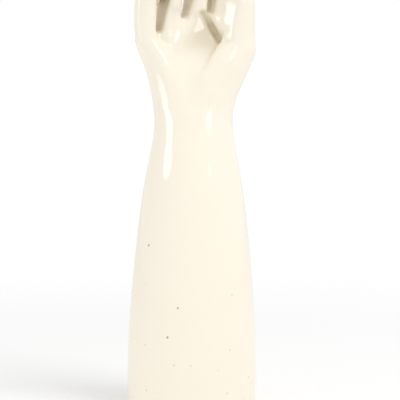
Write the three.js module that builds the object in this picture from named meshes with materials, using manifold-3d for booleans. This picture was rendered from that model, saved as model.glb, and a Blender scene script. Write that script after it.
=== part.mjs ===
// A ceramic right hand on a flared forearm, standing upright with its palm forward (-Y) and
// its thumb to the right (+X). Seven slip castings are luted together before firing.
// Millimetres, +Z up, origin on the ground at the middle of the foot.
import * as THREE from "three";
import Module from "manifold-3d";

// Forearm: a hollow sleeve, open at the foot
const footWidth = 101.4;
const footDepth = 92;
const wristWidth = 60.8;
const wristDepth = 47;
const wristHeight = 230;
const wristShift = 1.6;
const forearmWall = 5.5;
const footChamfer = 1.2;

// Luting joint left between two castings, how far the root of a finger in its mound stays
// inside the cut of the finger's seat, and how far a cutting solid runs past its cut
const lutingGap = 0.3;
const rootInset = 1.2;
const cutOverrun = 4;

// Palm, with heights taken from the wrist. The row is the width at the finger roots.
const rowWidth = 83;
const crownHeight = 79.5;
const crownRise = 24.6;
const crownRound = 20;
const palmThickness = 27;
const palmSetback = 5;
const palmBow = 10;
const palmLean = 4.4;
const palmWall = 5;

// Fingers, in a row that hollows towards the viewer. Length runs from seat to tip, the seat's
// depth is from the palm's crown down, and offsets are to the right and forward (-Y) from the
// wrist's middle. Angles are in degrees: lean to the right, pitch forward, and how each
// changes by the tip.
const littleFinger = {
  name: "little_finger",
  sideOffset: -36.2,
  seatDepth: 3,
  frontOffset: 10.5,
  length: 70,
  rootWidth: 18.2,
  tipWidth: 13.6,
  lean: -7,
  sway: 24,
  pitch: 8,
  curl: 26,
};
const ringFinger = {
  name: "ring_finger",
  sideOffset: -21.4,
  seatDepth: 4.8,
  frontOffset: 0.5,
  length: 82,
  rootWidth: 22.4,
  tipWidth: 15,
  lean: 4,
  sway: 2,
  pitch: 8,
  curl: 26,
};
const middleFinger = {
  name: "middle_finger",
  sideOffset: 2.8,
  seatDepth: 10.3,
  frontOffset: -8.5,
  length: 88,
  rootWidth: 27.4,
  tipWidth: 16,
  lean: 4,
  sway: 0,
  pitch: 4,
  curl: 26,
};
const indexFinger = {
  name: "index_finger",
  sideOffset: 23.2,
  seatDepth: 15.8,
  frontOffset: -2.5,
  length: 80,
  rootWidth: 22,
  tipWidth: 15.4,
  lean: 12,
  sway: -16,
  pitch: 9,
  curl: 8,
};
const thumb = {
  name: "thumb",
  sideOffset: 33.2,
  seatDepth: 31.1,
  frontOffset: -1,
  length: 66,
  rootWidth: 31,
  tipWidth: 17.6,
  lean: 9,
  sway: -19,
  pitch: 6,
  curl: 44,
};

// Mound of the thumb, which runs from near the wrist into the root of the thumb, and the
// ridge along its front, which runs on up a share of the thumb's length
const thenarFoot = { sideOffset: 13, frontOffset: 6, height: 22, radius: 11 };
const ridgeFoot = { sideOffset: 7, frontOffset: 8.5, height: 4, radius: 8.5 };
const ridgeLow = { sideOffset: 13, frontOffset: 10.8, height: 29.5, radius: 8.5 };
const ridgeMiddle = { sideOffset: 24.5, frontOffset: 9.8, height: 45, radius: 9.5 };
const ridgeHead = { sideOffset: 31.2, frontOffset: 7.4, height: 59, radius: 10 };
const ridgeTip = { sideOffset: 36.4, frontOffset: 12.4, alongShare: 0.545, radius: 10.4 };
const ridgeFilletRadius = 8;

// Mound on the little finger's side, which runs into the root of the little finger
const heelFoot = { sideOffset: -14, frontOffset: 3.5, height: 22, radius: 10 };
const heelHead = { sideOffset: -22.5, frontOffset: 5.2, height: 40, radius: 9 };

// Fillet between the mounds and the flat of the palm, from the low one up to the high one
const moundFilletRadius = 9;
const webFilletRadius = 5;
const filletLowHeight = 40;
const filletHighHeight = 70;

// Shares along the forearm: height, then how much is left of the flare in width and in depth
const flareShares = [
  [0, 1, 1],
  [0.22, 1, 0.98],
  [0.37, 0.9, 0.91],
  [0.5, 0.77, 0.79],
  [0.64, 0.6, 0.63],
  [0.78, 0.375, 0.44],
  [0.88, 0.16, 0.25],
  [0.95, 0.025, 0.07],
  [1, 0, 0],
];
// Shares up the palm: height, then width, thickness and lean between the wrist and the crown
const palmShares = [
  [0, 0, 1, 0],
  [0.12, 0.13, 0.84, -0.05],
  [0.24, 0.37, 0.68, -0.4],
  [0.41, 0.71, 0.42, -0.75],
  [0.52, 0.76, 0.3, -0.6],
  [0.65, 0.74, 0.18, -0.2],
  [0.85, 0.79, 0.05, 0.6],
  [1, 1, 0, 1],
];
const domeShare = 0.55;
const hollowShare = 0.56;
const domePower = 4;
// Shares along a finger: length, then how much of the root width is left over the tip's
const fingerShares = [
  [0, 1],
  [0.22, 0.97],
  [0.42, 0.84],
  [0.62, 0.56],
  [0.84, 0.16],
  [1, 0],
];
const thumbShares = [
  [0, 1],
  [0.3, 0.58],
  [0.55, 0.22],
  [0.75, 0.1],
  [0.9, 0.02],
  [1, 0],
];

// Counts of faces round and along the castings
const sleeveSides = 48;
const sleeveRings = 15;
const palmSides = 56;
const palmRings = 20;
const fingerSides = 24;
const fingerRings = 11;
const tipRings = 4;

// Steps in the search for the palm's skin along a line from its middle, and halvings after it
const searchSteps = 240;
const searchHalvings = 16;

const glaze = { color: 0xfbf3df, roughness: 0.12, metalness: 0 };

const { degToRad, lerp } = THREE.MathUtils;

// A smooth curve through one column of a table of shares
function curve(shares, column = 1) {
  const at = shares.map((row) => row[0]);
  const values = shares.map((row) => row[column]);
  const spline = new THREE.CubicInterpolant(at, values, 1, new Float64Array(1));
  return (share) => spline.evaluate(share)[0];
}

// A closed body through rings of points, listed anticlockwise as seen from the last ring.
// A ring of one point is a pole, and a loft that returns to its first ring is a tube.
function loft(rings, returns = false) {
  const starts = [];
  let count = 0;
  for (const ring of rings) {
    starts.push(count);
    count += ring.length;
  }
  const sides = Math.max(...rings.map((ring) => ring.length));
  const corner = (ring, side) => starts[ring] + (side % rings[ring].length);
  const faces = [];
  const span = (low, high) => {
    for (let side = 0; side < sides; side++) {
      const a = corner(low, side);
      const b = corner(low, side + 1);
      const c = corner(high, side + 1);
      const d = corner(high, side);
      if (a !== b) faces.push(a, b, c);
      if (c !== d) faces.push(a, c, d);
    }
  };
  for (let ring = 1; ring < rings.length; ring++) span(ring - 1, ring);
  if (returns) span(rings.length - 1, 0);
  return new THREE.BufferGeometry().setFromPoints(rings.flat()).setIndex(faces);
}

const middleOf = (ring) =>
  ring.reduce((sum, point) => sum.add(point), new THREE.Vector3()).divideScalar(ring.length);

const wasm = await Module();
wasm.setup();

function solidOf(geometry) {
  const vertProperties = new Float32Array(geometry.attributes.position.array);
  const triVerts = new Uint32Array(geometry.index.array);
  return new wasm.Manifold(new wasm.Mesh({ numProp: 3, vertProperties, triVerts }));
}

function geometryOf(solid) {
  const { vertProperties, triVerts } = solid.getMesh();
  const positions = new THREE.BufferAttribute(vertProperties, 3);
  const geometry = new THREE.BufferGeometry().setAttribute("position", positions);
  return geometry.setIndex(new THREE.BufferAttribute(triVerts, 1));
}

function casting(name, geometry) {
  const mesh = new THREE.Mesh(geometry, new THREE.MeshStandardMaterial(glaze));
  mesh.name = name;
  return mesh;
}

// The forearm: outer wall up, over the wrist's edge, inner wall down, back under the foot
function forearmGeometry() {
  const flareWidth = curve(flareShares, 1);
  const flareDepth = curve(flareShares, 2);
  const top = wristHeight - lutingGap;
  const ring = (height, inset) => {
    const share = height / wristHeight;
    const width = lerp(wristWidth, footWidth, flareWidth(share));
    const depth = lerp(wristDepth, footDepth, flareDepth(share));
    return Array.from({ length: sleeveSides }, (_, side) => {
      const angle = (side / sleeveSides) * 2 * Math.PI;
      return new THREE.Vector3(
        wristShift * share + Math.cos(angle) * (width / 2 - inset),
        Math.sin(angle) * (depth / 2 - inset),
        height,
      );
    });
  };
  const outer = Array.from({ length: sleeveRings }, (_, step) =>
    ring(lerp(footChamfer, top, step / (sleeveRings - 1)), 0),
  );
  const inner = Array.from({ length: sleeveRings }, (_, step) =>
    ring(lerp(top, footChamfer, step / (sleeveRings - 1)), forearmWall),
  );
  const foot = [ring(0, forearmWall + footChamfer / 2), ring(0, footChamfer)];
  return loft([...outer, ...inner, ...foot], true);
}

const placeOf = (mound) => new THREE.Vector3(mound.sideOffset, -mound.frontOffset, mound.height);

// Distance from a point to a chain of cones with round ends, negative inside it
function chainField(point, chain) {
  let nearest = Infinity;
  for (let link = 1; link < chain.length; link++) {
    const foot = chain[link - 1];
    const head = chain[link];
    const start = placeOf(foot);
    const run = placeOf(head).sub(start);
    const from = point.clone().sub(start);
    const along = THREE.MathUtils.clamp(from.dot(run) / run.lengthSq(), 0, 1);
    const gap = from.addScaledVector(run, -along).length();
    nearest = Math.min(nearest, gap - lerp(foot.radius, head.radius, along));
  }
  return nearest;
}

// The lower of two distances, with a fillet between them
function blended(a, b, blend) {
  const near = Math.max(blend - Math.abs(a - b), 0) / blend;
  return Math.min(a, b) - (near * near * blend) / 4;
}

// Height of the palm's top at a place across it: it rises towards the index finger
function crownAt(across) {
  const share = across / rowWidth;
  return crownHeight + crownRise * share - crownRound * share * share;
}

const rootOf = (finger) => ({
  ...finger,
  height: crownAt(finger.sideOffset) - finger.seatDepth,
  radius: finger.rootWidth / 2 - rootInset,
});
const heelChain = [heelFoot, heelHead, rootOf(littleFinger)];
const thenarChain = [thenarFoot, rootOf(thumb)];
const ridgeChain = [ridgeFoot, ridgeLow, ridgeMiddle, ridgeHead];

const palmWidthCurve = curve(palmShares, 1);
const palmThicknessCurve = curve(palmShares, 2);
const palmLeanCurve = curve(palmShares, 3);

// Distance from a point to the palm's skin, negative inside it
function palmField(point) {
  const share = Math.max(point.z / crownAt(point.x), 0);
  const halfWidth = lerp(wristWidth, rowWidth, palmWidthCurve(share)) / 2;
  const halfDepth = lerp(palmThickness, wristDepth, palmThicknessCurve(share)) / 2;
  const across = (point.x + palmLean * palmLeanCurve(share)) / halfWidth;
  const bowed = point.y - palmSetback * (1 - palmThicknessCurve(share));
  const depth = (bowed + palmBow * share * across * across) / halfDepth;
  const dome = Math.max(share - domeShare, 0) / (1 - domeShare);
  const round = (across * across + depth * depth) ** (domePower / 2) + dome ** domePower;
  const slab = (round ** (1 / domePower) - 1) * halfDepth;
  const risen = (point.z - filletLowHeight) / (filletHighHeight - filletLowHeight);
  const fillet = lerp(moundFilletRadius, webFilletRadius, THREE.MathUtils.clamp(risen, 0, 1));
  const ridge = chainField(point, ridgeChain);
  const thenar = blended(chainField(point, thenarChain), ridge, ridgeFilletRadius);
  return blended(slab, Math.min(thenar, chainField(point, heelChain)), fillet);
}

// A ring of the palm: from its middle outwards, the furthest place where the field is the
// negative of the wall that is left outside it
function palmRing(share, wall) {
  const stride = rowWidth / searchSteps;
  const axis = -palmLean * palmLeanCurve(share);
  const setback = palmSetback * (1 - palmThicknessCurve(share));
  return Array.from({ length: palmSides }, (_, side) => {
    const angle = (side / palmSides) * 2 * Math.PI;
    const at = (radius) => {
      const x = axis + Math.cos(angle) * radius;
      const y = setback + Math.sin(angle) * radius;
      return new THREE.Vector3(x, y, share * crownAt(x));
    };
    const inside = (radius) => palmField(at(radius)) < -wall;
    let step = searchSteps;
    while (step > 0 && !inside(step * stride)) step--;
    let low = step * stride;
    let gap = stride;
    for (let halving = 0; halving < searchHalvings; halving++) {
      gap /= 2;
      if (inside(low + gap)) low += gap;
    }
    return at(low);
  });
}

// A body through rings of the palm between two shares of its height, closed by its end rings
function palmBody(lowShare, highShare, rings, wall) {
  const skins = Array.from({ length: rings }, (_, step) => {
    const share = lerp(lowShare, highShare, Math.sin(((step / (rings - 1)) * Math.PI) / 2));
    return palmRing(share, wall);
  });
  const pole = middleOf(skins[0]);
  return [[pole], ...skins, [middleOf(skins[rings - 1])]];
}

// A limb with a flat seat and a round tip, square rings on a line. Grown is the distance by
// which a copy that cuts its seat stands out all round.
function limb(stations, grown) {
  const rings = stations.map(({ centre, facing, radius }) => {
    const side = new THREE.Vector3(1, 0, 0).addScaledVector(facing, -facing.x).normalize();
    const back = new THREE.Vector3().crossVectors(facing, side);
    return Array.from({ length: fingerSides }, (_, turn) => {
      const angle = (turn / fingerSides) * 2 * Math.PI;
      return centre
        .clone()
        .addScaledVector(side, Math.cos(angle) * radius)
        .addScaledVector(back, Math.sin(angle) * radius);
    });
  });
  const start = stations[0];
  const nose = stations.at(-1);
  const sunk = rings[0].map((point) => point.clone().addScaledVector(start.facing, -grown));
  const seat = start.centre.clone().addScaledVector(start.facing, -grown);
  const end = nose.centre.clone().addScaledVector(nose.facing, grown);
  const first = grown > 0 ? [[seat], sunk] : [[seat]];
  return solidOf(loft([...first, ...rings.slice(0, -1), [end]]));
}

// Shares of a tip's length at its rings, closer together towards its end
const tipShares = Array.from({ length: tipRings + 1 }, (_, step) =>
  Math.sin(((step / tipRings) * Math.PI) / 2),
);

// The stations of a finger along its line
function fingerStations(finger, shares, grown) {
  const swell = curve(shares);
  const tipShare = 1 - finger.tipWidth / 2 / finger.length;
  const shaft = Array.from({ length: fingerRings }, (_, step) => (step / fingerRings) * tipShare);
  const facing = (share) => {
    const lean = degToRad(finger.lean + finger.sway * share);
    const pitch = degToRad(finger.pitch + finger.curl * share);
    return new THREE.Vector3(Math.sin(lean), -Math.sin(pitch), Math.cos(lean)).normalize();
  };
  const point = placeOf(rootOf(finger));
  let last = 0;
  return [...shaft, ...tipShares.map((step) => lerp(tipShare, 1, step))].map((share) => {
    point.addScaledVector(facing((last + share) / 2), (share - last) * finger.length);
    last = share;
    const round = Math.max(share - tipShare, 0) / (1 - tipShare);
    const width = lerp(finger.tipWidth, finger.rootWidth, swell(share));
    const radius = (width / 2 + grown) * Math.sqrt(1 - round * round);
    return { centre: point.clone(), facing: facing(share), radius };
  });
}

// The stations of the ridge along the front of the thumb
function ridgeStations(grown) {
  const head = placeOf(ridgeHead);
  const height = rootOf(thumb).height + ridgeTip.alongShare * thumb.length;
  const tip = placeOf({ ...ridgeTip, height });
  const facing = tip.clone().sub(head).normalize();
  const seat = { centre: head, facing, radius: ridgeHead.radius + grown };
  const dome = tipShares.map((share) => ({
    centre: tip.clone().addScaledVector(facing, share * ridgeTip.radius),
    facing,
    radius: (ridgeTip.radius + grown) * Math.sqrt(1 - share * share),
  }));
  return [seat, ...dome];
}

function fingerSolid(finger, grown) {
  if (finger !== thumb) return limb(fingerStations(finger, fingerShares, grown), grown);
  const shaft = limb(fingerStations(thumb, thumbShares, grown), grown);
  return shaft.add(limb(ridgeStations(grown), grown));
}

// The hand, standing on the wrist
const hand = new THREE.Group();
hand.position.set(wristShift, 0, wristHeight);

let palm = solidOf(loft(palmBody(0, 1, palmRings, 0)));
const cavity = palmBody(0, hollowShare, Math.ceil(palmRings / 2), palmWall);
const mouth = cavity[1].map((point) => point.clone().setZ(-cutOverrun));
palm = palm.subtract(solidOf(loft([[middleOf(mouth)], mouth, ...cavity.slice(1)])));
let neighbour;
for (const finger of [thumb, indexFinger, middleFinger, ringFinger, littleFinger]) {
  const cutter = fingerSolid(finger, lutingGap);
  const solid = fingerSolid(finger, 0);
  palm = palm.subtract(cutter);
  hand.add(casting(finger.name, geometryOf(neighbour ? solid.subtract(neighbour) : solid)));
  neighbour = cutter;
}
hand.add(casting("palm", geometryOf(palm)));

const sculpture = new THREE.Group();
sculpture.add(casting("forearm", forearmGeometry()), hand);

export default sculpture;
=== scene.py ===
"""A glazed ceramic right hand on a flared forearm, standing on a pale floor in soft studio light.

The seven luted castings are the frame. One skin of cream glaze lies over all of them, from the
rim of the foot to the fingertips and down the drained hollow. The form is worked out as a
distance from every place to the finished surface, and the skin is drawn where that distance is
nought. The form's sizes are the castings' own, in millimetres; Blender's are in metres.

The skin isn't built with mesh operators, because it runs on without a break over the webs, the
knife cuts and the dish of the palm. Castings fused and remeshed there are left with holes.
"""

import math

import bmesh
import bpy
import numpy as np
import openvdb
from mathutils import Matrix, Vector


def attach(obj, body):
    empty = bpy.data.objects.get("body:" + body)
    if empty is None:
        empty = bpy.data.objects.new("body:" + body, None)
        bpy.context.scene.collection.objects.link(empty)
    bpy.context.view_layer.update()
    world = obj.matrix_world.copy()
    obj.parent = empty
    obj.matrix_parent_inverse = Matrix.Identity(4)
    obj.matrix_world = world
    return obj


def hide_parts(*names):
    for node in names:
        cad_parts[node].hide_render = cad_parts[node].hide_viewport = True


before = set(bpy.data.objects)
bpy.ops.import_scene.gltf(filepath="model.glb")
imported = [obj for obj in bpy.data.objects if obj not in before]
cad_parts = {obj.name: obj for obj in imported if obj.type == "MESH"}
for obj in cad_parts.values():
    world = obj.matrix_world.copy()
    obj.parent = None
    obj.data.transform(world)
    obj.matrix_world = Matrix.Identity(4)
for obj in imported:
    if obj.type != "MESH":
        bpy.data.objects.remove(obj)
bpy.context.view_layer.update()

MM = 0.001
CASTINGS = (
    "forearm",
    "palm",
    "thumb",
    "index_finger",
    "middle_finger",
    "ring_finger",
    "little_finger",
)

# Forearm
FOOT_WIDTH = 101.4
FOOT_DEPTH = 92
WRIST_WIDTH = 60.8
WRIST_DEPTH = 47
WRIST_HEIGHT = 230
WRIST_SHIFT = 1.6
FOREARM_WALL = 5.5
RIM_ROUND = 2.4

# Palm
CROWN_HEIGHT = 79.5
CROWN_RISE = 24.6
CROWN_ROUND = 20
ROW_WIDTH = 83
PALM_THICKNESS = 27
PALM_SETBACK = 5
PALM_BOW = 10
PALM_LEAN = 4.4
PALM_WALL = 5
HOLLOW_TOP = 44.5
HOLLOW_ROUND = 8
HOLLOW_EDGE = 1.5

# Shares along the forearm: height, then how much is left of the flare in width and in depth
FLARE = [
    (0, 1, 1),
    (0.22, 1, 0.98),
    (0.37, 0.9, 0.91),
    (0.5, 0.77, 0.79),
    (0.64, 0.6, 0.63),
    (0.78, 0.375, 0.44),
    (0.88, 0.16, 0.25),
    (0.95, 0.025, 0.07),
    (1, 0, 0),
]
# Shares up the palm: height, then width, thickness and lean between wrist and crown
PALM = [
    (0, 0, 1, 0),
    (0.12, 0.13, 0.84, -0.05),
    (0.24, 0.37, 0.68, -0.4),
    (0.41, 0.71, 0.42, -0.75),
    (0.52, 0.76, 0.3, -0.6),
    (0.65, 0.74, 0.18, -0.2),
    (0.85, 0.79, 0.05, 0.6),
    (1, 1, 0, 1),
]
DOME_SHARE = 0.55
DOME_POWER = 4
# The body is measured at even stations, in shares of the palm's height from the wrist
LOWEST_STATION = -3.2
HIGHEST_STATION = 1.4
STATION_STEP = 0.01
# How far the sponge evens out the body's sizes, and how softly, in stations
SPONGE_REACH = 20
SPONGE_WIDTH = 7

# Shares along a finger: how far up it, then how much is left of what the root is wider by
FINGER = [(0, 1), (0.22, 0.97), (0.42, 0.84), (0.62, 0.56), (0.84, 0.16), (1, 0)]
THUMB = [(0, 1), (0.3, 0.58), (0.55, 0.22), (0.75, 0.1), (0.9, 0.02), (1, 0)]
FINGER_STEPS = 24
# Fingers: across, length, root width, tip width, seat, forward, lean, sway, pitch, curl
FINGERS = {
    "little_finger": (-36.2, 70, 18.2, 13.6, 62, 10.5, -7, 24, 8, 26),
    "ring_finger": (-21.4, 82, 22.4, 15, 67, 0.5, 4, 2, 8, 26),
    "middle_finger": (2.8, 87.4, 27.4, 16, 70, -8.5, 4, 0, 4, 26),
    "index_finger": (23.2, 80, 22, 15.4, 69, -2.5, 12, -16, 9, 8),
}
THUMB_SHAPE = (33.2, 66, 31, 17.6, 55, -1, 9, -19, 6, 44)

# Mounds that run on into the thumb and the little finger: across, forward, above and radius
THENAR_FOOT = (13, 6, 22, 11)
THENAR_RIDGE = [
    (7, 8.5, 4, 8.5),
    (13, 10.8, 29.5, 8.5),
    (24.5, 9.8, 45, 9.5),
    (31.2, 7.4, 59, 10),
    (34, 9.7, 76, 10.5),
    (36.4, 12.4, 91, 10.4),
]
HEEL = [(-14, 3.5, 22, 10), (-22.5, 5.2, 40, 9)]
# How far below the wrist the mounds may still swell the forearm
MOUND_REACH = 15

# Fillets. The mounds' turns into the webs' between two heights above the wrist
MOUND_BLEND = 9
WEB_BLEND = 5
BLEND_HEIGHTS = (40, 70)
RIDGE_BLEND = 8
CREASE_BLEND = 1.6
THUMB_BLEND = 3

# The flattened inner side of the thumb: a place on it, where it faces, the height it starts at,
# how fast it dies away below that, and its round edge
FLANK_PLACE = (29.7, -16.8, 306)
FLANK_AZIMUTH = math.radians(-40)
FLANK_FALL = math.radians(2)
FLANK_FOOT = 290
FLANK_RELEASE = 0.8
FLANK_EDGE = 1.2

# Carving starts this far above the wrist
CARVED_FROM = 25
# The dished middle of the palm, between flat sides: a place on each, and where it faces
DISH = [
    ((-7, -8.5, 297), (0.325, -0.945, -0.044)),
    ((10, -2.7, 295), (0.053, -0.896, 0.442)),
    ((15.4, -1, 302), (-0.75, -0.5, -0.43)),
    ((20.8, -6, 286), (-0.85, 0.2, 0.48)),
    ((0, -6, 311), (0, -0.45, -0.89)),
    ((-13, -9, 297), (0.85, -0.53, 0)),
]
DISH_BLEND = 3
DISH_EDGE = 4.5
DISH_REACH = 60.0
# Cuts between the fingers and along the fold: across, height and half width of each place
# up a cut, how many times deeper than wide it is, how far it turns to the left, its round edge
FINGER_CUTS = [
    ([(-26, 300, 2.8), (-24.8, 306.6, 3.1), (-21.6, 322.5, 3.1), (-18, 340, 2.4)], 4.5, 0.4, 3),
    ([(-6.4, 311, 2.8), (-3.7, 322, 3.2), (-1.6, 334, 3)], 4.5, 0.4, 3),
    ([(15, 314, 2.2), (15.6, 322, 2.5), (17, 334, 2.4)], 2.3, 0.3, 2.5),
]
FOLD_CUT = ([(9, 312, 1.4), (15, 302, 2), (19, 294.5, 1.9), (22, 289.5, 1.4)], 1.8, 0, 3)
# A line of sight through the palm, from in front of it to behind it
SIGHT_FRONT = -60
SIGHT_BACK = 30
SIGHT_STEPS = 721

# The block of space that the skin is drawn in, and the size of its squares
DRAWING_LOW = (-54, -52, -4)
DRAWING_HIGH = (56, 52, 390)
SKIN_PITCH = 1.48
FAR_AWAY = 10.0
# Settling: rounds in all, the last ones without evening out, the longest step, the least slope
# that is trusted and how much of the way to its neighbours' middle a point is pulled
SETTLING_ROUNDS = 5
LAST_ROUNDS = 2
LONGEST_STEP = 2
LEAST_STEEP = 0.05
EVENING = 0.5

# Pooled glaze and painted shade, darker by the bend of the skin over a short reach
BEND_REACH = 3.5
BEND_TINT = 2
BEND_START = 0.15
# Painted shade by how deep a cut is, in millimetres for full colour
CUT_DEPTH = 5
# Painted shade in the dish: where it starts, the depth for full colour and the most that it takes
DISH_START = 0.8
DISH_DEPTH = 6
DISH_TINT = 0.55
# Painted shade beside the cuts between the fingers: how far to the right, how strong and how soft
HALO_SHIFT = 2.5
HALO_TINT = 0.17
HALO_WIDTH = 3
# The darkening thins out up the fingers, between two heights, to a faint rest
FADE_HEIGHTS = (324, 341)
FADE_REST = 0.12
# Bare clay: this near the drawn hollow, and this low on the rim
HOLLOW_NEAR = 1
BARE_RIM = 1.2


def smooth_min(a, b, blend):
    """The lower of two forms' distances, with a fillet between them."""
    near = np.maximum(blend - np.abs(a - b), 0) / blend
    return np.minimum(a, b) - near * near * blend / 4


def smooth_max(a, b, blend):
    """The higher of two forms' distances, with a round edge between them."""
    return -smooth_min(-a, -b, blend)


def curve(shares, column=1):
    """A smooth curve through one column of a table of shares."""
    at, values = np.array(shares, float)[:, [0, column]].T
    slopes = np.diff(values) / np.diff(at)
    tangents = np.concatenate([slopes[:1], (slopes[1:] + slopes[:-1]) / 2, slopes[-1:]])

    def read(share):
        share = np.clip(share, at[0], at[-1])
        low = np.clip(np.searchsorted(at, share, side="right") - 1, 0, len(at) - 2)
        step = at[low + 1] - at[low]
        p = (share - at[low]) / step
        rise = 3 * p**2 - 2 * p**3
        ends = (1 - rise) * values[low] + rise * values[low + 1]
        pull = (p**3 - 2 * p**2 + p) * tangents[low] + (p**3 - p**2) * tangents[low + 1]
        return ends + pull * step

    return read


def profile(below, above):
    """One size of the body up its whole height, sponged smooth where the wrist joins."""
    station = np.arange(LOWEST_STATION, HIGHEST_STATION, STATION_STEP)
    height = np.maximum(1 + station * CROWN_HEIGHT / WRIST_HEIGHT, 0)
    size = np.where(station < 0, below(np.minimum(height, 1)), above(np.clip(station, 0, 1)))
    reach = np.arange(-SPONGE_REACH, SPONGE_REACH + 1)
    spread = np.exp(-0.5 * (reach / SPONGE_WIDTH) ** 2)
    padded = np.pad(size, SPONGE_REACH, mode="edge")
    smooth = np.convolve(padded, spread / spread.sum(), mode="valid")
    return lambda share: np.interp(share, station, smooth)


flare, flare_depth = curve(FLARE), curve(FLARE, 2)
palm_width, palm_thickness, palm_lean = (curve(PALM, column) for column in (1, 2, 3))
half_width = profile(
    lambda share: (WRIST_WIDTH + (FOOT_WIDTH - WRIST_WIDTH) * flare(share)) / 2,
    lambda share: (WRIST_WIDTH + (ROW_WIDTH - WRIST_WIDTH) * palm_width(share)) / 2,
)
half_depth = profile(
    lambda share: (WRIST_DEPTH + (FOOT_DEPTH - WRIST_DEPTH) * flare_depth(share)) / 2,
    lambda share: (PALM_THICKNESS + (WRIST_DEPTH - PALM_THICKNESS) * palm_thickness(share)) / 2,
)
middle_across = profile(
    lambda share: WRIST_SHIFT * (share - 1),
    lambda share: -PALM_LEAN * palm_lean(share),
)
middle_back = profile(
    lambda share: 0 * share,
    lambda share: PALM_SETBACK * (1 - palm_thickness(share)),
)


def body_field(points):
    """Forearm, wrist and the flat of the palm: distance from points, negative inside."""
    across, back, above = points[:, 0] - WRIST_SHIFT, points[:, 1], points[:, 2] - WRIST_HEIGHT
    row = np.where(above > 0, across / ROW_WIDTH, 0)
    share = above / (CROWN_HEIGHT + CROWN_RISE * row - CROWN_ROUND * row * row)
    wide, deep = half_width(share), half_depth(share)
    x = (across - middle_across(share)) / wide
    y = (back - middle_back(share) + PALM_BOW * np.clip(share, 0, 1) * x * x) / deep
    dome = np.maximum(share - DOME_SHARE, 0) / (1 - DOME_SHARE)
    level = (x * x + y * y) ** (DOME_POWER / 2) + dome**DOME_POWER
    return (level ** (1 / DOME_POWER) - 1) * deep


def finger_line(size, shares, mounds=()):
    """The points and radii along a finger, from its mounds to the middle of its round tip."""
    across, length, root, tip, seat, forward, lean, sway, pitch, curl = size
    share = np.linspace(0, 1 - tip / 2 / length, FINGER_STEPS + 1)
    middle = (share[1:] + share[:-1]) / 2
    turn, nod = np.radians(lean + sway * middle), np.radians(pitch + curl * middle)
    facing = np.stack([np.sin(turn), -np.sin(nod), np.cos(turn)], axis=-1)
    facing /= np.linalg.norm(facing, axis=1)[:, None]
    stretch = facing * (share[1:] - share[:-1])[:, None] * length
    line = np.vstack([np.zeros(3), np.cumsum(stretch, axis=0)]) + (across, -forward, seat)
    radii = (tip + (root - tip) * curve(shares)(share)) / 2
    below = np.array([(x, -y, z) for x, y, z, _ in mounds]).reshape(-1, 3)
    line = np.vstack([below, line]) + (WRIST_SHIFT, 0, WRIST_HEIGHT)
    return line, np.concatenate([[mound[3] for mound in mounds], radii])


def finger_field(points, line, radii):
    """Distance from points to a round line whose radius changes along it."""
    nearest = np.full(len(points), np.inf)
    for low, high, small, large in zip(line[:-1], line[1:], radii[:-1], radii[1:]):
        run = high - low
        along = np.clip((points - low) @ run / (run @ run), 0, 1)
        gap = np.linalg.norm(points - low - along[:, None] * run, axis=1)
        nearest = np.minimum(nearest, gap - (small + (large - small) * along))
    return nearest


little_line = finger_line(FINGERS["little_finger"], FINGER, HEEL)
other_lines = [
    finger_line(FINGERS[name], FINGER) for name in ("ring_finger", "middle_finger", "index_finger")
]
thumb_line = finger_line(THUMB_SHAPE, THUMB, [THENAR_FOOT])
ridge = np.array(THENAR_RIDGE) * (1, -1, 1, 1) + (WRIST_SHIFT, 0, WRIST_HEIGHT, 0)
flank_facing = np.array(
    [
        math.sin(FLANK_AZIMUTH) * math.cos(FLANK_FALL),
        -math.cos(FLANK_AZIMUTH) * math.cos(FLANK_FALL),
        -math.sin(FLANK_FALL),
    ]
)


def thumb_field(points):
    """The thumb and its mound, pared flat on the side that faces the palm."""
    thumb = finger_field(points, *thumb_line)
    thumb = smooth_min(thumb, finger_field(points, ridge[:, :3], ridge[:, 3]), RIDGE_BLEND)
    release = FLANK_RELEASE * np.maximum(FLANK_FOOT - points[:, 2], 0)
    return smooth_max(thumb, (points - FLANK_PLACE) @ flank_facing - release, FLANK_EDGE)


def uncut_field(points):
    """The whole hand and forearm as one solid, before the carving and the hollow."""
    value = body_field(points)
    high = points[:, 2] > WRIST_HEIGHT - MOUND_REACH
    near = points[high]
    fingers = finger_field(near, *little_line)
    for line in other_lines:
        fingers = smooth_min(fingers, finger_field(near, *line), CREASE_BLEND)
    fingers = smooth_min(fingers, thumb_field(near), THUMB_BLEND)
    blend = np.interp(near[:, 2] - WRIST_HEIGHT, BLEND_HEIGHTS, [MOUND_BLEND, WEB_BLEND])
    value[high] = smooth_min(value[high], fingers, blend)
    return value


def dished(points, value):
    """The skin's distances with the middle of the palm carved out between its flat sides."""
    tool = np.full(len(points), -DISH_REACH)
    for place, facing in DISH:
        tool = smooth_max(tool, -(points - place) @ np.array(facing), DISH_BLEND)
    return smooth_max(value, -tool, DISH_EDGE)


def front_of(across, height):
    """How far back the skin of the palm lies at a place seen from the front."""
    back = np.linspace(SIGHT_FRONT, SIGHT_BACK, SIGHT_STEPS)
    sight = np.stack([np.full(SIGHT_STEPS, across), back, np.full(SIGHT_STEPS, height)], axis=-1)
    return back[np.argmax(dished(sight, uncut_field(sight)) < 0)]


class Cut:
    """A knife's cut into the skin: a round line in its own upright, squeezed space."""

    def __init__(self, places, stretch, turn, edge):
        self.line = np.array([[x, front_of(x, z) / stretch, z] for x, z, _ in places])
        self.radii = np.array([radius for *_, radius in places])
        self.stretch = stretch
        self.turn = turn
        self.edge = edge

    def field(self, points):
        """Distance from points to the cut, measured in its own space."""
        squeezed = points * (1, 1 / self.stretch, 1)
        squeezed[:, 0] += self.turn * (points[:, 1] - self.line[0, 1] * self.stretch)
        return finger_field(squeezed, self.line, self.radii)


finger_cuts = [Cut(*row) for row in FINGER_CUTS]
fold_cut = Cut(*FOLD_CUT)


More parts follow.
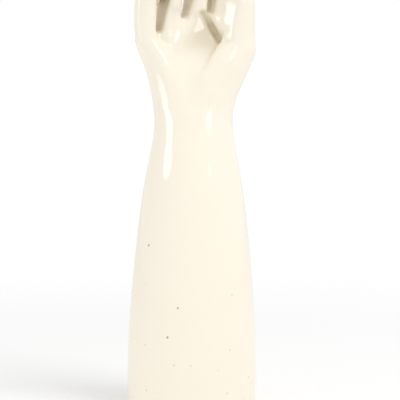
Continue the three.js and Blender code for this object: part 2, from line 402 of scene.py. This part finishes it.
def carved(points, value):
    """The hand's distances with the dish, the cuts between the fingers and the fold in it."""
    value = dished(points, value)
    for cut in [*finger_cuts, fold_cut]:
        value = smooth_max(value, -cut.field(points), cut.edge)
    return value


def hollow_field(points):
    """The drained hollow, open at the foot."""
    wall = np.where(points[:, 2] > WRIST_HEIGHT, PALM_WALL, FOREARM_WALL)
    above = points[:, 2] - WRIST_HEIGHT - HOLLOW_TOP
    return smooth_max(body_field(points) + wall, above, HOLLOW_ROUND)


def skin_field(points):
    """The finished form: the solid less its carving, its hollow and what is under the foot."""
    value = uncut_field(points)
    high = points[:, 2] > WRIST_HEIGHT + CARVED_FROM
    value[high] = carved(points[high], value[high])
    value = smooth_max(value, -hollow_field(points), HOLLOW_EDGE)
    return smooth_max(value, -points[:, 2], RIM_ROUND)


def slope_of(points, reach=0.05):
    """The field at points and the direction in which it rises."""
    corners = np.array([(1, 1, 1), (1, -1, -1), (-1, 1, -1), (-1, -1, 1)]) * reach
    values = [skin_field(points + corner) for corner in corners]
    slope = sum(v[:, None] * corner for v, corner in zip(values, corners)) / (4 * reach**2)
    return sum(values) / 4, slope


def drawn():
    """One closed skin of even squares round the finished form, drawn from its distances."""
    low, high = np.array(DRAWING_LOW, float), np.array(DRAWING_HIGH)
    counts = np.ceil((high - low) / SKIN_PITCH).astype(int)
    places = [low[axis] + SKIN_PITCH * np.arange(counts[axis]) for axis in range(3)]
    points = np.stack(np.meshgrid(*places, indexing="ij"), axis=-1).reshape(-1, 3)
    grid = openvdb.FloatGrid(background=FAR_AWAY)
    grid.copyFromArray(skin_field(points).reshape(counts))
    corners, squares = grid.convertToQuads()
    mesh = bpy.data.meshes.new("glazed_body")
    mesh.from_pydata((corners * SKIN_PITCH + low) * MM, [], squares[:, ::-1].tolist())
    mesh.polygons.foreach_set("use_smooth", np.ones(len(mesh.polygons), bool))
    return mesh


def settled(mesh):
    """Moves a mesh's points on to the finished form, evening them out along it."""
    places = np.empty(len(mesh.vertices) * 3)
    mesh.vertices.foreach_get("co", places)
    points = places.reshape(-1, 3) / MM
    pairs = np.empty(len(mesh.edges) * 2, int)
    mesh.edges.foreach_get("vertices", pairs)
    left, right = pairs.reshape(-1, 2).T
    count = np.bincount(pairs, minlength=len(points))
    for turn in range(SETTLING_ROUNDS):
        value, slope = slope_of(points)
        steep = np.maximum((slope**2).sum(axis=1), LEAST_STEEP)
        step = np.clip(value / steep, -LONGEST_STEP, LONGEST_STEP)
        points = points - slope * step[:, None]
        if turn >= SETTLING_ROUNDS - LAST_ROUNDS:
            continue
        around = np.stack(
            [
                np.bincount(left, points[right, axis], len(points))
                + np.bincount(right, points[left, axis], len(points))
                for axis in range(3)
            ],
            axis=-1,
        )
        pull = around / count[:, None] - points
        normal = slope / np.sqrt(steep)[:, None]
        pull -= normal * (pull * normal).sum(axis=1)[:, None]
        points += pull * EVENING
    mesh.vertices.foreach_set("co", (points * MM).ravel())
    mesh.update()
    return points


def pooling_and_painted_shade(points):
    """How much darker the glaze is drawn at each place: pooled glaze and painted shade in the
    creases, the cuts and the dish.
    """
    steps = BEND_REACH * np.vstack([np.eye(3), -np.eye(3)])
    around = sum(skin_field(points + step) for step in steps) / len(steps)
    bend = (skin_field(points) - around) / BEND_REACH
    uncut = uncut_field(points)
    sunk = np.zeros(len(points))
    beside = np.full(len(points), np.inf)
    high = points[:, 2] > WRIST_HEIGHT + CARVED_FROM
    near = points[high]
    sunk[high] = -dished(near, uncut[high])
    shifted = near - (HALO_SHIFT, 0, 0)
    beside[high] = np.min([cut.field(shifted) for cut in finger_cuts], axis=0)
    # Painted shade with pooled glaze: in the creases by their bend, in the cuts by their depth
    crease = np.maximum(bend * BEND_TINT - BEND_START, sunk / CUT_DEPTH)
    # Painted shade in the dish of the palm, by how deep it is carved
    dish = np.clip((-uncut - DISH_START) / DISH_DEPTH, 0, DISH_TINT)
    # Painted shade on the flank beside each cut between the fingers
    halo = HALO_TINT * np.exp(-np.maximum(beside, 0) / HALO_WIDTH)
    fade = np.interp(points[:, 2], FADE_HEIGHTS, [1, FADE_REST])
    return np.clip(crease + dish + halo, 0, 1) * fade


def unglazed(points):
    """Where the clay is left bare: down the hollow and on the rim that it stands on."""
    return (np.abs(hollow_field(points)) < HOLLOW_NEAR) | (points[:, 2] < BARE_RIM)


def mark(mesh, name, values):
    """Keeps a number for each point of a mesh, for its finish to read."""
    kept = mesh.attributes.new(name, "FLOAT", "POINT")
    kept.data.foreach_set("value", values.astype(np.float32))


class Wire:
    """An output in a finish. Sums of wires and numbers add their Math nodes."""

    def __init__(self, tree, socket=None):
        self.tree = tree
        self.socket = socket

    def node(self, kind, settings=None, sockets=None, out=0):
        """Adds a node with its settings, then the values or wires of its sockets."""
        node = self.tree.nodes.new(kind)
        for name, value in (settings or {}).items():
            setattr(node, name, value)
        for name, value in (sockets or {}).items():
            socket = node.inputs[name]
            if isinstance(value, Wire):
                self.tree.links.new(value.socket, socket)
            else:
                socket.default_value = value
        return Wire(self.tree, node.outputs[out]) if len(node.outputs) else node

    def maths(self, operation, first, second):
        """Adds a Math node on two wires or numbers."""
        return self.node("ShaderNodeMath", {"operation": operation}, {0: first, 1: second})

    def __add__(self, other):
        return self.maths("ADD", self, other)

    __radd__ = __add__

    def __mul__(self, other):
        return self.maths("MULTIPLY", self, other)

    __rmul__ = __mul__

    def __sub__(self, other):
        return self.maths("SUBTRACT", self, other)

    def __rsub__(self, other):
        return self.maths("SUBTRACT", other, self)

    def smooth(self, low, high):
        """0 where the wire is at low, 1 where it is at high, eased between them."""
        return self.node(
            "ShaderNodeMapRange",
            {"interpolation_type": "SMOOTHSTEP"},
            {"Value": self, "From Min": low, "From Max": high},
        )

    def blend(self, first, second):
        """The first colour where the wire is 0, the second where it is 1."""
        return self.node(
            "ShaderNodeMix",
            {"data_type": "RGBA"},
            {"Factor": self, 6: first, 7: second},
            out=2,
        )


def finish(name):
    """A new material with an empty tree, and a wire to start it with."""
    material = bpy.data.materials.new(name)
    material.use_nodes = True
    material.node_tree.nodes.clear()
    return material, Wire(material.node_tree)


# Glaze where it is even, glaze darkened as painted shade and pooled glaze, bare fired clay, and
# iron in the clay
CREAM = (0.965, 0.9, 0.765, 1)
POOLED_AND_SHADED = (0.7, 0.61, 0.44, 1)
BISQUE = (0.86, 0.8, 0.7, 1)
IRON = (0.2, 0.13, 0.05, 1)
GLAZE_ROUGHNESS = 0.07
CLAY_ROUGHNESS = 0.62
GLAZE_IOR = 1.5
# The faint waviness of the glaze: waves to the metre, and their height in metres
PEEL_SCALE = 55
PEEL_HEIGHT = 0.00006
# Iron specks sit one to a cell, some cells without one: cells to the metre, and a speck's
# solid and outer radius in cells
SPECK_SCALE = 120
SPECK_RADII = (0.08, 0.14)
# They crowd towards the foot and stop higher up, between heights in metres
CROWD_HEIGHTS = (0.01, 0.15)
CROWDING = 0.75
SPECK_CHANCE = (0.985, 0.99)
LAST_SPECKS = (0.14, 0.16)
# Most are faint, and the few with the highest dice are dark
FAINT_SPECK = 0.17
DARK_SPECK = 0.5
DARK_CHANCE = (0.8, 0.95)


def iron_specks(wire, place):
    """How strongly an iron speck shows through the glaze at each place."""
    cells = {"Vector": place, "Scale": SPECK_SCALE}
    middle = wire.node("ShaderNodeTexVoronoi", sockets=cells, out="Distance")
    dice = wire.node("ShaderNodeTexVoronoi", sockets=cells, out="Color")
    there, dark = (
        wire.node("ShaderNodeSeparateColor", sockets={"Color": dice}, out=out) for out in (0, 1)
    )
    height = wire.node("ShaderNodeSeparateXYZ", sockets={"Vector": place}, out="Z")
    crowded = (1 - height.smooth(*CROWD_HEIGHTS)) * CROWDING
    speck = (1 - middle.smooth(*SPECK_RADII)) * (there + crowded).smooth(*SPECK_CHANCE)
    speck = speck * (1 - height.smooth(*LAST_SPECKS))
    return speck * (dark.smooth(*DARK_CHANCE) * DARK_SPECK + FAINT_SPECK)


def cream_glaze():
    """Glossy cream glaze, darker with painted shade and pooled glaze in the creases, cuts and
    dish, off the clay in the hollow and on the rim.
    """
    material, wire = finish("cream_glaze")
    place = wire.node("ShaderNodeTexCoord", out="Object")
    # Where the glaze is painted darker as shade, and as pooled glaze, in the creases, cuts and
    # dish
    pool_and_shade = wire.node("ShaderNodeAttribute", {"attribute_name": "pool_and_shade"}, out="Fac")
    bare = wire.node("ShaderNodeAttribute", {"attribute_name": "bare"}, out="Fac")
    glaze = iron_specks(wire, place).blend(pool_and_shade.blend(CREAM, POOLED_AND_SHADED), IRON)
    waves = {"Vector": place, "Scale": PEEL_SCALE, "Detail": 1}
    peel = wire.node("ShaderNodeTexNoise", sockets=waves)
    bump = wire.node("ShaderNodeBump", sockets={"Height": peel * PEEL_HEIGHT, "Distance": 1.0})
    surface = wire.node(
        "ShaderNodeBsdfPrincipled",
        sockets={
            "Base Color": bare.blend(glaze, BISQUE),
            "Roughness": bare * (CLAY_ROUGHNESS - GLAZE_ROUGHNESS) + GLAZE_ROUGHNESS,
            "IOR": GLAZE_IOR,
            "Normal": bump,
        },
    )
    wire.node("ShaderNodeOutputMaterial", sockets={"Surface": surface})
    return material


def glazed_body():
    """The skin of the whole sculpture, which stands for all its castings."""
    mesh = drawn()
    points = settled(mesh)
    # Painted shade and pooled glaze, kept for the finish to darken the creases, cuts and dish
    mark(mesh, "pool_and_shade", pooling_and_painted_shade(points))
    mark(mesh, "bare", unglazed(points))
    mesh.materials.append(cream_glaze())
    body = bpy.data.objects.new("glazed_body", mesh)
    bpy.context.collection.objects.link(body)
    return body


WHITE = (1, 1, 1, 1)
FLOOR_PAINT = (0.99, 0.99, 0.99, 1)
FLOOR_RADIUS = 3.5
FLOOR_SIDES = 96
# How far out the floor starts to fade into the white, and where it is all white
FLOOR_FADE = (0.3, 0.75)
# How brightly the white room lights the sculpture
ROOM = 0.8


def floor():
    """A pale floor that fades into the white beyond it and keeps the soft shadow."""
    sheet = bmesh.new()
    bmesh.ops.create_circle(sheet, cap_ends=True, radius=FLOOR_RADIUS, segments=FLOOR_SIDES)
    mesh = bpy.data.meshes.new("floor")
    sheet.to_mesh(mesh)
    sheet.free()
    obj = bpy.data.objects.new("floor", mesh)
    bpy.context.collection.objects.link(obj)
    material, wire = finish("pale_floor")
    place = wire.node("ShaderNodeTexCoord", out="Object")
    far = wire.node("ShaderNodeVectorMath", {"operation": "LENGTH"}, {0: place}, out="Value")
    rays = wire.node("ShaderNodeLightPath", out="Is Camera Ray")
    paint = wire.node("ShaderNodeBsdfDiffuse", sockets={"Color": FLOOR_PAINT})
    white = wire.node("ShaderNodeEmission", sockets={"Color": WHITE, "Strength": 1.0})
    share = rays * far.smooth(*FLOOR_FADE)
    surface = wire.node("ShaderNodeMixShader", sockets={0: share, 1: paint, 2: white})
    wire.node("ShaderNodeOutputMaterial", sockets={"Surface": surface})
    mesh.materials.append(material)


def backdrop():
    """A white room: plain white to the camera and in the gloss, a little dimmer as a light."""
    world = bpy.data.worlds.new("studio")
    bpy.context.scene.world = world
    world.use_nodes = True
    world.node_tree.nodes.clear()
    wire = Wire(world.node_tree)
    seen = wire.node("ShaderNodeLightPath", out="Is Camera Ray")
    glossy = wire.node("ShaderNodeLightPath", out="Is Glossy Ray")
    strength = wire.maths("MAXIMUM", seen, glossy) * (1 - ROOM) + ROOM
    light = wire.node("ShaderNodeBackground", sockets={"Color": WHITE, "Strength": strength})
    wire.node("ShaderNodeOutputWorld", sockets={"Surface": light})


# Softboxes: place, aim, width, height and brightness
KEY = ((0.72, -0.6, 1.62), (0, 0, 0.15), 0.7, 0.7, 5.4)
FILL = ((-1.2, -0.6, 0.22), (0, 0, 0.2), 0.8, 0.8, 0.8)
# Strips, each for one glint: the same, then the spread of the beam in degrees
STRIPS = {
    "left_strip": ((-0.13, -0.078, 0.23), (-0.02, -0.022, 0.216), 0.06, 0.05, 4.2, 70),
    "thumb_strip": ((-0.142, -0.048, 0.273), (0.029, -0.018, 0.307), 0.03, 0.052, 5.8, 29),
    "right_strip": ((0.092, -0.126, 0.284), (0.006, -0.02, 0.287), 0.045, 0.042, 4.4, 46),
    "wrist_strip": ((0.092, -0.126, 0.241), (0.01, -0.02, 0.2295), 0.07, 0.054, 5.0, 23),
}


def softbox(name, place, aim, width, height, brightness, shape="RECTANGLE"):
    """A flat lamp that faces what it is aimed at."""
    light = bpy.data.lights.new(name, "AREA")
    light.shape = shape
    light.size = width
    light.size_y = height
    light.energy = brightness * math.pi * width * height
    lamp = bpy.data.objects.new(name, light)
    away = Vector(place) - Vector(aim)
    lamp.location = place
    lamp.rotation_euler = away.to_track_quat("Z", "Y").to_euler()
    bpy.context.collection.objects.link(lamp)
    return lamp


def strip(name, place, aim, width, height, brightness, spread):
    """A small oval lamp close by, which only draws a glint on the glaze."""
    lamp = softbox(name, place, aim, width, height, brightness, "ELLIPSE")
    lamp.visible_camera = False
    lamp.visible_diffuse = False
    half = math.radians(spread / 2)
    lamp.data.spread = 2 * half
    # Blender brightens a narrower beam, so the lamp's power comes down by as much
    lamp.data.energy *= 1 - half / math.tan(half)


def studio_light():
    """A key light high on the right, a weak fill from the left that draws no glint, the strips."""
    softbox("key", *KEY)
    fill = softbox("fill", *FILL)
    fill.visible_glossy = False
    for name, row in STRIPS.items():
        strip(name, *row)


# The camera: what it looks at, how steeply down, from how far, and how wide it sees there
CAMERA_AIM = (0.0067, 0, 0.1635)
CAMERA_RISE = math.radians(7)
CAMERA_DISTANCE = 2.6
VIEW_WIDTH = 0.316
SENSOR_WIDTH = 36
CAMERA_REACH = 20


def camera():
    """Looks at the palm from in front and a little above, through a long lens."""
    lens = bpy.data.cameras.new("camera")
    eye = bpy.data.objects.new("camera", lens)
    away = Vector((0, -math.cos(CAMERA_RISE), math.sin(CAMERA_RISE)))
    eye.location = Vector(CAMERA_AIM) + away * CAMERA_DISTANCE
    eye.rotation_euler = away.to_track_quat("Z", "Y").to_euler()
    lens.sensor_width = SENSOR_WIDTH
    lens.lens = SENSOR_WIDTH * CAMERA_DISTANCE / VIEW_WIDTH
    lens.clip_end = CAMERA_REACH
    bpy.context.collection.objects.link(eye)
    bpy.context.scene.camera = eye


body = glazed_body()
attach(body, "root")
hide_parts(*CASTINGS)

floor()
backdrop()
studio_light()
camera()
bpy.context.scene.view_settings.view_transform = "Standard"
